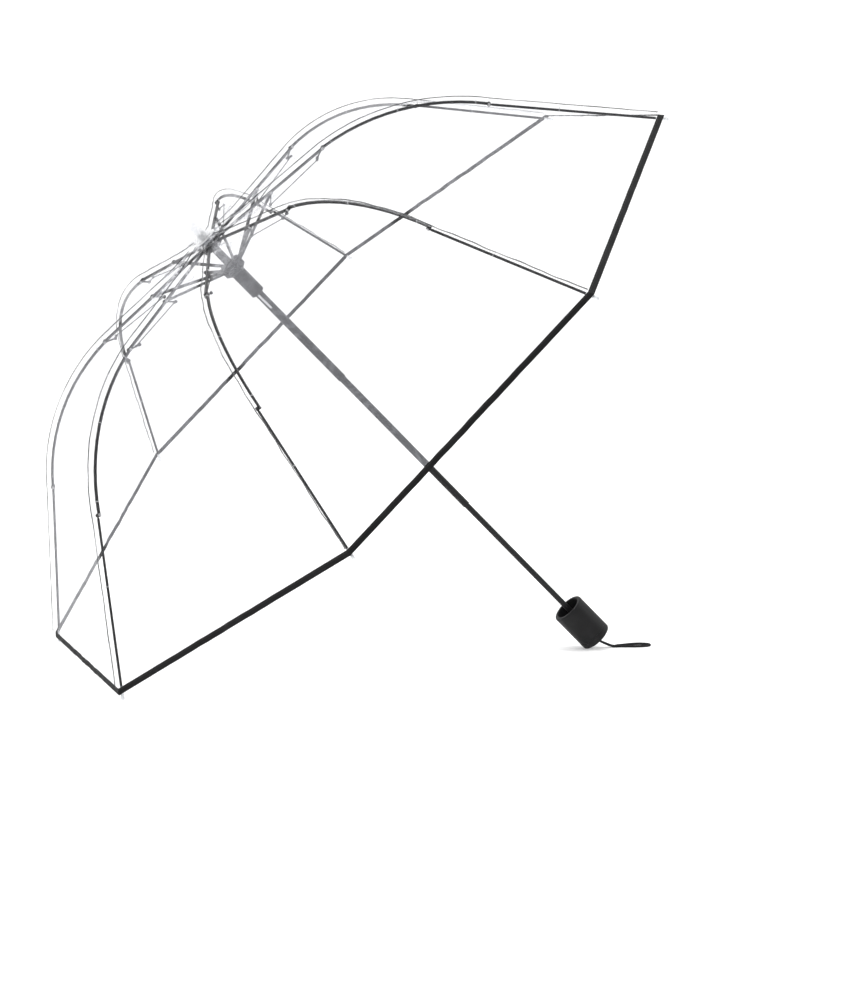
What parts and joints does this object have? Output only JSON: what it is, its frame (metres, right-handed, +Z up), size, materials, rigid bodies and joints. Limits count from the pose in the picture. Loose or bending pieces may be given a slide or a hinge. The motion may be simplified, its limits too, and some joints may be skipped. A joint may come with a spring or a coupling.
{
  "type": "folding umbrella",
  "caption": "Clear folding umbrella, open, with a sliding runner, jointed folding ribs, telescoping shaft, black hem and short handle with a wrist strap.",
  "frame": {"origin": "on the floor under the middle of the box that holds the umbrella without its wrist strap", "axes": "+Z up from the floor that the umbrella rests on; +X along the floor, from the edge of the canopy that rests on it towards the handle; the shaft lies in the XZ plane and Y runs across the canopy"},
  "size_m": [0.7213, 0.8962, 0.6589],
  "materials": {
    "clear_sheet": "clear, glossy, thin plastic sheet",
    "clear_plastic": "clear moulded plastic, slightly cloudy",
    "rib_steel": "black painted steel, satin",
    "black_steel": "black painted steel tube, satin",
    "steel": "bright wire",
    "black_plastic": "black moulded plastic, fine texture",
    "grip_rubber": "black, soft touch, matt",
    "tape": "black woven edge binding",
    "cord": "black round braided cord"
  },
  "bodies": {
    "umbrella": {"top_tube": "black_steel", "crown": "black_plastic", "crown_wire": "steel", "canopy_washer": "clear_plastic", "ferrule_cap": "clear_plastic", "canopy": "clear_sheet", "hem_binding": "tape"},
    "middle_tube": {"middle_tube": "black_steel"},
    "handle": {"lower_tube": "black_steel", "handle_grip": "grip_rubber", "handle_socket": "black_plastic", "handle_end_cap": "black_plastic", "strap_knot": "cord", "wrist_strap": "cord"},
    "runner": {"runner": "black_plastic", "runner_wire": "steel"},
    "catch": {"runner_catch": "steel"},
    "top_rib_1": {"top_rib_1": "rib_steel"},
    "stretcher_1": {"stretcher_1": "rib_steel"},
    "middle_rib_1": {"middle_rib_1": "rib_steel"},
    "end_rib_1": {"end_rib_1": "rib_steel"},
    "control_link_1": {"control_link_1": "rib_steel"},
    "top_rib_2": {"top_rib_2": "rib_steel"},
    "stretcher_2": {"stretcher_2": "rib_steel"},
    "middle_rib_2": {"middle_rib_2": "rib_steel"},
    "end_rib_2": {"end_rib_2": "rib_steel"},
    "control_link_2": {"control_link_2": "rib_steel"},
    "top_rib_3": {"top_rib_3": "rib_steel"},
    "stretcher_3": {"stretcher_3": "rib_steel"},
    "middle_rib_3": {"middle_rib_3": "rib_steel"},
    "end_rib_3": {"end_rib_3": "rib_steel"},
    "control_link_3": {"control_link_3": "rib_steel"},
    "top_rib_4": {"top_rib_4": "rib_steel"},
    "stretcher_4": {"stretcher_4": "rib_steel"},
    "middle_rib_4": {"middle_rib_4": "rib_steel"},
    "end_rib_4": {"end_rib_4": "rib_steel"},
    "control_link_4": {"control_link_4": "rib_steel"},
    "top_rib_5": {"top_rib_5": "rib_steel"},
    "stretcher_5": {"stretcher_5": "rib_steel"},
    "middle_rib_5": {"middle_rib_5": "rib_steel"},
    "end_rib_5": {"end_rib_5": "rib_steel"},
    "control_link_5": {"control_link_5": "rib_steel"},
    "top_rib_6": {"top_rib_6": "rib_steel"},
    "stretcher_6": {"stretcher_6": "rib_steel"},
    "middle_rib_6": {"middle_rib_6": "rib_steel"},
    "end_rib_6": {"end_rib_6": "rib_steel"},
    "control_link_6": {"control_link_6": "rib_steel"},
    "top_rib_7": {"top_rib_7": "rib_steel"},
    "stretcher_7": {"stretcher_7": "rib_steel"},
    "middle_rib_7": {"middle_rib_7": "rib_steel"},
    "end_rib_7": {"end_rib_7": "rib_steel"},
    "control_link_7": {"control_link_7": "rib_steel"},
    "top_rib_8": {"top_rib_8": "rib_steel"},
    "stretcher_8": {"stretcher_8": "rib_steel"},
    "middle_rib_8": {"middle_rib_8": "rib_steel"},
    "end_rib_8": {"end_rib_8": "rib_steel"},
    "control_link_8": {"control_link_8": "rib_steel"}
  },
  "joints": [
    {"name": "middle_tube_slide", "type": "slide", "parent": "umbrella", "child": "middle_tube", "axis": [-0.7152, 0, 0.699], "range_m": [0, 0.219]},
    {"name": "lower_tube_slide", "type": "slide", "parent": "middle_tube", "child": "handle", "axis": [-0.7152, 0, 0.699], "range_m": [0, 0.219]},
    {"name": "runner_slide", "type": "slide", "parent": "umbrella", "child": "runner", "axis": [0.7152, 0, -0.699], "range_m": [0, 0.13683], "deforming": ["canopy", "hem_binding"]},
    {"name": "catch_press", "type": "hinge", "parent": "umbrella", "child": "catch", "pos_m": [-0.09878, -0.0048, 0.41844], "axis": [-0.6458, 0.3827, -0.6607], "range_deg": [0, 4], "stiffness_Nm_per_rad": 0.5},
    {"name": "top_rib_hinge_1", "type": "hinge", "parent": "umbrella", "child": "top_rib_1", "pos_m": [-0.16273, -0.00383, 0.49665], "axis": [0.2675, 0.9239, 0.2737], "range_deg": [0, 85.42]},
    {"name": "stretcher_hinge_1", "type": "hinge", "parent": "runner", "child": "stretcher_1", "pos_m": [-0.13643, -0.00698, 0.47063], "axis": [-0.2675, -0.9239, -0.2737], "range_deg": [0, 64.83]},
    {"name": "knee_1", "type": "hinge", "parent": "top_rib_1", "child": "middle_rib_1", "pos_m": [-0.05451, -0.06303, 0.60171], "axis": [-0.2675, -0.9239, -0.2737], "range_deg": [0, 197.6]},
    {"name": "elbow_1", "type": "hinge", "parent": "middle_rib_1", "child": "end_rib_1", "pos_m": [0.11998, -0.132, 0.65304], "axis": [0.2675, 0.9239, 0.2737], "range_deg": [0, 158.44]},
    {"name": "control_link_slide_1", "type": "slide", "parent": "top_rib_1", "child": "control_link_1", "axis": [0.1997, -0.331, 0.9223], "range_m": [0, 0.02706]},
    {"name": "top_rib_hinge_2", "type": "hinge", "parent": "umbrella", "child": "top_rib_2", "pos_m": [-0.16651, -0.00924, 0.49278], "axis": [0.6458, 0.3827, 0.6607], "range_deg": [0, 85.42]},
    {"name": "stretcher_hinge_2", "type": "hinge", "parent": "runner", "child": "stretcher_2", "pos_m": [-0.14172, -0.01131, 0.46521], "axis": [-0.6458, -0.3827, -0.6607], "range_deg": [0, 64.83]},
    {"name": "knee_2", "type": "hinge", "parent": "top_rib_2", "child": "middle_rib_2", "pos_m": [-0.11843, -0.15771, 0.53631], "axis": [-0.6458, -0.3827, -0.6607], "range_deg": [0, 197.6]},
    {"name": "elbow_2", "type": "hinge", "parent": "middle_rib_2", "child": "end_rib_2", "pos_m": [-0.01051, -0.31869, 0.51953], "axis": [0.6458, 0.3827, 0.6607], "range_deg": [0, 158.44]},
    {"name": "control_link_slide_2", "type": "slide", "parent": "top_rib_2", "child": "control_link_2", "axis": [-0.1275, -0.7991, 0.5875], "range_m": [0, 0.02706]},
    {"name": "top_rib_hinge_3", "type": "hinge", "parent": "umbrella", "child": "top_rib_3", "pos_m": [-0.17186, -0.00924, 0.4873], "axis": [0.6458, -0.3827, 0.6607], "range_deg": [0, 85.42]},
    {"name": "stretcher_hinge_3", "type": "hinge", "parent": "runner", "child": "stretcher_3", "pos_m": [-0.14761, -0.00902, 0.45919], "axis": [-0.6458, 0.3827, -0.6607], "range_deg": [0, 64.83]},
    {"name": "knee_3", "type": "hinge", "parent": "top_rib_3", "child": "middle_rib_3", "pos_m": [-0.21041, -0.16001, 0.4422], "axis": [-0.6458, 0.3827, -0.6607], "range_deg": [0, 197.6]},
    {"name": "elbow_3", "type": "hinge", "parent": "middle_rib_3", "child": "end_rib_3", "pos_m": [-0.19504, -0.31869, 0.33073], "axis": [0.6458, -0.3827, 0.6607], "range_deg": [0, 158.44]},
    {"name": "control_link_slide_3", "type": "slide", "parent": "top_rib_3", "child": "control_link_3", "axis": [-0.5902, -0.7991, 0.114], "range_m": [0, 0.02706]},
    {"name": "top_rib_hinge_4", "type": "hinge", "parent": "umbrella", "child": "top_rib_4", "pos_m": [-0.17564, -0.00383, 0.48343], "axis": [0.2675, -0.9239, 0.2737], "range_deg": [0, 85.42]},
    {"name": "stretcher_hinge_4", "type": "hinge", "parent": "runner", "child": "stretcher_4", "pos_m": [-0.15063, -0.00144, 0.45609], "axis": [-0.2675, 0.9239, -0.2737], "range_deg": [0, 64.83]},
    {"name": "knee_4", "type": "hinge", "parent": "top_rib_4", "child": "middle_rib_4", "pos_m": [-0.27659, -0.06857, 0.37448], "axis": [-0.2675, 0.9239, -0.2737], "range_deg": [0, 197.6]},
    {"name": "elbow_4", "type": "hinge", "parent": "middle_rib_4", "child": "end_rib_4", "pos_m": [-0.32553, -0.132, 0.19722], "axis": [0.2675, -0.9239, 0.2737], "range_deg": [0, 158.44]},
    {"name": "control_link_slide_4", "type": "slide", "parent": "top_rib_4", "child": "control_link_4", "axis": [-0.9174, -0.331, -0.2207], "range_m": [0, 0.02706]},
    {"name": "top_rib_hinge_5", "type": "hinge", "parent": "umbrella", "child": "top_rib_5", "pos_m": [-0.17564, 0.00383, 0.48343], "axis": [-0.2675, -0.9239, -0.2737], "range_deg": [0, 85.42]},
    {"name": "stretcher_hinge_5", "type": "hinge", "parent": "runner", "child": "stretcher_5", "pos_m": [-0.14903, 0.00698, 0.45773], "axis": [0.2675, 0.9239, 0.2737], "range_deg": [0, 64.83]},
    {"name": "knee_5", "type": "hinge", "parent": "top_rib_5", "child": "middle_rib_5", "pos_m": [-0.2782, 0.06303, 0.37284], "axis": [0.2675, 0.9239, 0.2737], "range_deg": [0, 197.6]},
    {"name": "elbow_5", "type": "hinge", "parent": "middle_rib_5", "child": "end_rib_5", "pos_m": [-0.32553, 0.132, 0.19722], "axis": [-0.2675, -0.9239, -0.2737], "range_deg": [0, 158.44]},
    {"name": "control_link_slide_5", "type": "slide", "parent": "top_rib_5", "child": "control_link_5", "axis": [-0.9174, 0.331, -0.2207], "range_m": [0, 0.02706]},
    {"name": "top_rib_hinge_6", "type": "hinge", "parent": "umbrella", "child": "top_rib_6", "pos_m": [-0.17186, 0.00924, 0.4873], "axis": [-0.6458, -0.3827, -0.6607], "range_deg": [0, 85.42]},
    {"name": "stretcher_hinge_6", "type": "hinge", "parent": "runner", "child": "stretcher_6", "pos_m": [-0.14373, 0.01131, 0.46315], "axis": [0.6458, 0.3827, 0.6607], "range_deg": [0, 64.83]},
    {"name": "knee_6", "type": "hinge", "parent": "top_rib_6", "child": "middle_rib_6", "pos_m": [-0.21429, 0.15771, 0.43823], "axis": [0.6458, 0.3827, 0.6607], "range_deg": [0, 197.6]},
    {"name": "elbow_6", "type": "hinge", "parent": "middle_rib_6", "child": "end_rib_6", "pos_m": [-0.19504, 0.31869, 0.33073], "axis": [-0.6458, -0.3827, -0.6607], "range_deg": [0, 158.44]},
    {"name": "control_link_slide_6", "type": "slide", "parent": "top_rib_6", "child": "control_link_6", "axis": [-0.5902, 0.7991, 0.114], "range_m": [0, 0.02706]},
    {"name": "top_rib_hinge_7", "type": "hinge", "parent": "umbrella", "child": "top_rib_7", "pos_m": [-0.16651, 0.00924, 0.49278], "axis": [-0.6458, 0.3827, -0.6607], "range_deg": [0, 85.42]},
    {"name": "stretcher_hinge_7", "type": "hinge", "parent": "runner", "child": "stretcher_7", "pos_m": [-0.13785, 0.00902, 0.46917], "axis": [0.6458, -0.3827, 0.6607], "range_deg": [0, 64.83]},
    {"name": "knee_7", "type": "hinge", "parent": "top_rib_7", "child": "middle_rib_7", "pos_m": [-0.1223, 0.16001, 0.53235], "axis": [0.6458, -0.3827, 0.6607], "range_deg": [0, 197.6]},
    {"name": "elbow_7", "type": "hinge", "parent": "middle_rib_7", "child": "end_rib_7", "pos_m": [-0.01051, 0.31869, 0.51953], "axis": [-0.6458, 0.3827, -0.6607], "range_deg": [0, 158.44]},
    {"name": "control_link_slide_7", "type": "slide", "parent": "top_rib_7", "child": "control_link_7", "axis": [-0.1275, 0.7991, 0.5875], "range_m": [0, 0.02706]},
    {"name": "top_rib_hinge_8", "type": "hinge", "parent": "umbrella", "child": "top_rib_8", "pos_m": [-0.16273, 0.00383, 0.49665], "axis": [-0.2675, 0.9239, -0.2737], "range_deg": [0, 85.42]},
    {"name": "stretcher_hinge_8", "type": "hinge", "parent": "runner", "child": "stretcher_8", "pos_m": [-0.13482, 0.00144, 0.47227], "axis": [0.2675, -0.9239, 0.2737], "range_deg": [0, 64.83]},
    {"name": "knee_8", "type": "hinge", "parent": "top_rib_8", "child": "middle_rib_8", "pos_m": [-0.05612, 0.06857, 0.60006], "axis": [0.2675, -0.9239, 0.2737], "range_deg": [0, 197.6]},
    {"name": "elbow_8", "type": "hinge", "parent": "middle_rib_8", "child": "end_rib_8", "pos_m": [0.11998, 0.132, 0.65304], "axis": [-0.2675, 0.9239, -0.2737], "range_deg": [0, 158.44]},
    {"name": "control_link_slide_8", "type": "slide", "parent": "top_rib_8", "child": "control_link_8", "axis": [0.1997, 0.331, 0.9223], "range_m": [0, 0.02706]}
  ],
  "couplings": [
    {"joint": "top_rib_hinge_1", "follows": "runner_slide", "rad_per_m": 10.895},
    {"joint": "stretcher_hinge_1", "follows": "runner_slide", "rad_per_m": 8.2689},
    {"joint": "knee_1", "follows": "runner_slide", "rad_per_m": 25.205},
    {"joint": "elbow_1", "follows": "runner_slide", "rad_per_m": 20.21},
    {"joint": "control_link_slide_1", "follows": "runner_slide", "ratio": 0.19777},
    {"joint": "top_rib_hinge_2", "follows": "runner_slide", "rad_per_m": 10.895},
    {"joint": "stretcher_hinge_2", "follows": "runner_slide", "rad_per_m": 8.2689},
    {"joint": "knee_2", "follows": "runner_slide", "rad_per_m": 25.205},
    {"joint": "elbow_2", "follows": "runner_slide", "rad_per_m": 20.21},
    {"joint": "control_link_slide_2", "follows": "runner_slide", "ratio": 0.19777},
    {"joint": "top_rib_hinge_3", "follows": "runner_slide", "rad_per_m": 10.895},
    {"joint": "stretcher_hinge_3", "follows": "runner_slide", "rad_per_m": 8.2689},
    {"joint": "knee_3", "follows": "runner_slide", "rad_per_m": 25.205},
    {"joint": "elbow_3", "follows": "runner_slide", "rad_per_m": 20.21},
    {"joint": "control_link_slide_3", "follows": "runner_slide", "ratio": 0.19777},
    {"joint": "top_rib_hinge_4", "follows": "runner_slide", "rad_per_m": 10.895},
    {"joint": "stretcher_hinge_4", "follows": "runner_slide", "rad_per_m": 8.2689},
    {"joint": "knee_4", "follows": "runner_slide", "rad_per_m": 25.205},
    {"joint": "elbow_4", "follows": "runner_slide", "rad_per_m": 20.21},
    {"joint": "control_link_slide_4", "follows": "runner_slide", "ratio": 0.19777},
    {"joint": "top_rib_hinge_5", "follows": "runner_slide", "rad_per_m": 10.895},
    {"joint": "stretcher_hinge_5", "follows": "runner_slide", "rad_per_m": 8.2689},
    {"joint": "knee_5", "follows": "runner_slide", "rad_per_m": 25.205},
    {"joint": "elbow_5", "follows": "runner_slide", "rad_per_m": 20.21},
    {"joint": "control_link_slide_5", "follows": "runner_slide", "ratio": 0.19777},
    {"joint": "top_rib_hinge_6", "follows": "runner_slide", "rad_per_m": 10.895},
    {"joint": "stretcher_hinge_6", "follows": "runner_slide", "rad_per_m": 8.2689},
    {"joint": "knee_6", "follows": "runner_slide", "rad_per_m": 25.205},
    {"joint": "elbow_6", "follows": "runner_slide", "rad_per_m": 20.21},
    {"joint": "control_link_slide_6", "follows": "runner_slide", "ratio": 0.19777},
    {"joint": "top_rib_hinge_7", "follows": "runner_slide", "rad_per_m": 10.895},
    {"joint": "stretcher_hinge_7", "follows": "runner_slide", "rad_per_m": 8.2689},
    {"joint": "knee_7", "follows": "runner_slide", "rad_per_m": 25.205},
    {"joint": "elbow_7", "follows": "runner_slide", "rad_per_m": 20.21},
    {"joint": "control_link_slide_7", "follows": "runner_slide", "ratio": 0.19777},
    {"joint": "top_rib_hinge_8", "follows": "runner_slide", "rad_per_m": 10.895},
    {"joint": "stretcher_hinge_8", "follows": "runner_slide", "rad_per_m": 8.2689},
    {"joint": "knee_8", "follows": "runner_slide", "rad_per_m": 25.205},
    {"joint": "elbow_8", "follows": "runner_slide", "rad_per_m": 20.21},
    {"joint": "control_link_slide_8", "follows": "runner_slide", "ratio": 0.19777}
  ]
}
